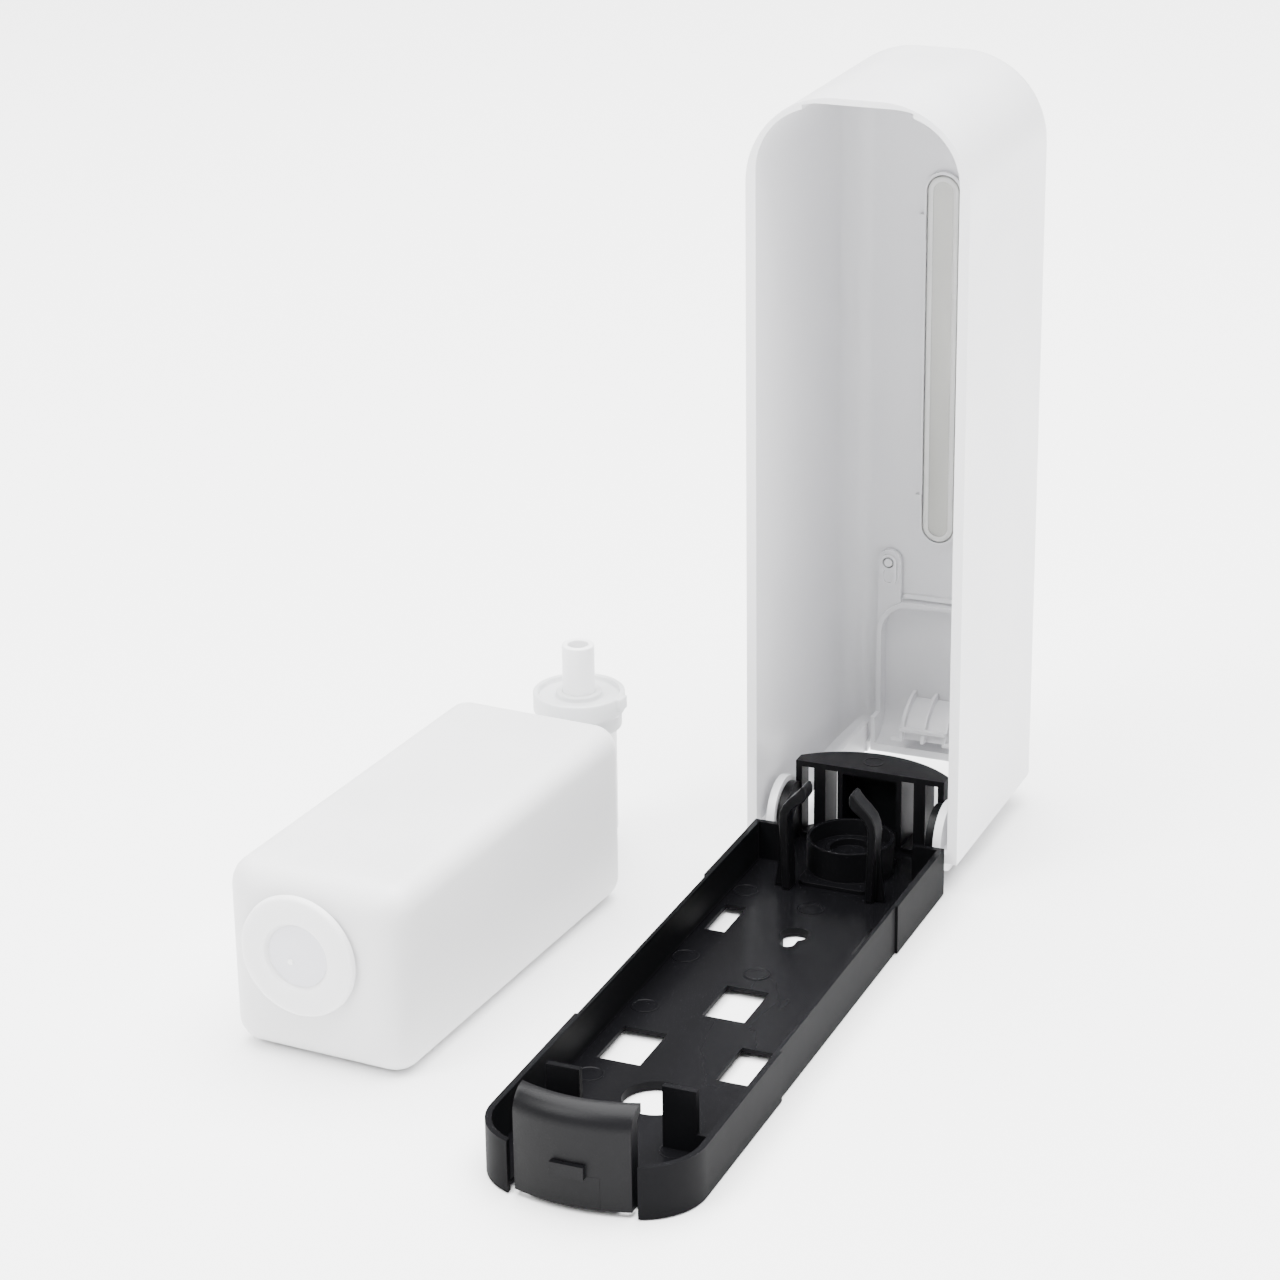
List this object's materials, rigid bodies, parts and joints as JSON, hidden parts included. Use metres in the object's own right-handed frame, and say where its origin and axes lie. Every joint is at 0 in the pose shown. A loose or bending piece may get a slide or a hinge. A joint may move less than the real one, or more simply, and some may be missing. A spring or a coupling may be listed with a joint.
{
  "type": "wall mounted soap dispenser",
  "caption": "Wall mounted soap dispenser opened for refilling: black wall tray, hinged white cover with push button and window, bottle with pump beside it.",
  "frame": {"origin": "centre of the screw keyhole in the plane of the wall", "axes": "+Z straight out of the wall, +Y down the wall towards the hinge end, +X across the wall, to the left when facing it"},
  "size_m": [0.1518, 0.2862, 0.2316],
  "materials": {
    "black_tray": "satin black moulding, shiny floor",
    "black_latch": "satin black",
    "white_cover": "smooth white, soft gloss",
    "smoked_window": "greenish grey clear plastic",
    "frosted_bottle": "translucent blow moulded plastic",
    "frosted_collar": "translucent natural plastic",
    "white_cap": "white moulding",
    "soft_seal": "soft grey",
    "spring_steel": "drawn wire",
    "valve_ball": "polished ball"
  },
  "bodies": {
    "tray": {"back_plate": "black_tray", "pump_cradle": "black_tray", "clip_post_left": "black_tray", "clip_post_right": "black_tray", "outlet_guard": "black_tray", "hinge_pin_left": "black_tray", "hinge_pin_right": "black_tray"},
    "latch": {"latch_tongue": "black_latch"},
    "cover": {"cover_shell": "white_cover", "window_lens": "smoked_window"},
    "button": {"push_button": "white_cover", "button_spout": "white_cover"},
    "bottle_unit": {"bottle": "frosted_bottle", "neck_gasket": "soft_seal", "pump_housing": "white_cap", "pump_cylinder": "frosted_collar", "pump_collar": "frosted_collar", "inlet_ball": "valve_ball", "pump_spring": "spring_steel"},
    "plunger": {"plunger_stem": "white_cap", "piston": "white_cap", "piston_seal": "soft_seal", "outlet_ball": "valve_ball"},
    "cap": {"refill_cap": "white_cap", "cap_liner": "soft_seal"}
  },
  "joints": [
    {"name": "cover_hinge", "type": "hinge", "parent": "tray", "child": "cover", "pos_m": [0, 0.05825, 0.01255], "axis": [1, 0, 0], "range_deg": [0, 90]},
    {"name": "latch_flex", "type": "hinge", "parent": "tray", "child": "latch", "pos_m": [0, -0.1546, 0.0019], "axis": [-1, 0, 0], "range_deg": [0, 5], "stiffness_Nm_per_rad": 6},
    {"name": "button_press", "type": "hinge", "parent": "cover", "child": "button", "pos_m": [0, 0.1215, 0.0705], "axis": [-1, 0, 0], "range_deg": [0, 8], "stiffness_Nm_per_rad": 2},
    {"name": "bottle_lift", "type": "slide", "parent": "tray", "child": "bottle_unit", "axis": [0, 0, 1], "range_m": [0, 0.15]},
    {"name": "plunger_travel", "type": "slide", "parent": "bottle_unit", "child": "plunger", "axis": [0, 0, -1], "range_m": [0, 0.008], "stiffness_N_per_m": 600, "deforming": ["pump_spring"]},
    {"name": "cap_pull", "type": "slide", "parent": "bottle_unit", "child": "cap", "axis": [-0.0633, -0.998, 0], "range_m": [0, 0.012]}
  ]
}
